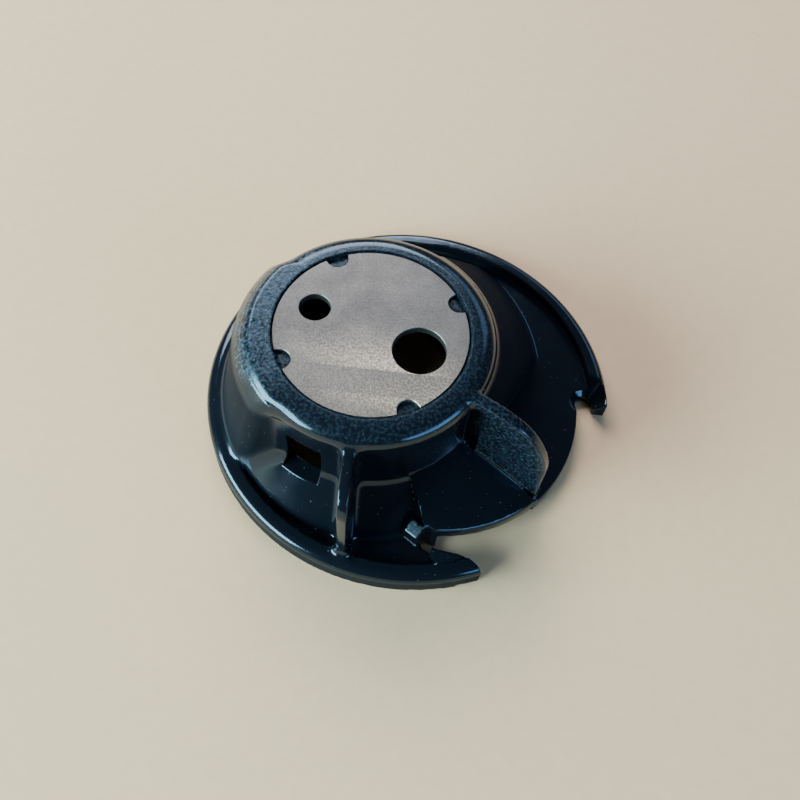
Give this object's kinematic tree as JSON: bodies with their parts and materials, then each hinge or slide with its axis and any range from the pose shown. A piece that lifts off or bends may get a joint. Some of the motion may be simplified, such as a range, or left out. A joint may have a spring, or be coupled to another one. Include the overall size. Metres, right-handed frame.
{
  "type": "bobbin case",
  "caption": "Drop-in sewing machine bobbin case: moulded cup with an offset round rim, thread finger, deck and fin, steel base plate and screwed tension spring.",
  "frame": {"origin": "centre of the round rim, on the plane that the rim rests on with the cup's mouth down", "axes": "+Z from the cup's mouth to its closed end, +X towards the side notch and its knob, -Y towards the pointed thread finger"},
  "size_m": [0.041, 0.041, 0.0143],
  "materials": {
    "black_plastic": "glossy black moulding, satin on the ring and the fin",
    "plate_steel": "satin, warm grey, finely scratched",
    "spring_steel": "bright rolled strip",
    "screw_steel": "turned, satin"
  },
  "bodies": {
    "case": {"case_body": "black_plastic", "base_plate": "plate_steel", "spring_fixing_screw": "screw_steel"},
    "spring": {"tension_spring": "spring_steel"},
    "adjuster": {"tension_adjusting_screw": "screw_steel"}
  },
  "joints": [
    {"name": "spring_opening", "type": "hinge", "parent": "case", "child": "spring", "pos_m": [-0.01255, 0.00787, 0.0066], "axis": [0, 0, 1], "range_deg": [0, 1.5], "stiffness_Nm_per_rad": 0.1},
    {"name": "tension_screw_turn", "type": "hinge", "parent": "case", "child": "adjuster", "pos_m": [-0.00822, 0.01042, 0.0066], "axis": [-0.3256, 0.9455, 0], "range_deg": [-450, 450]}
  ]
}
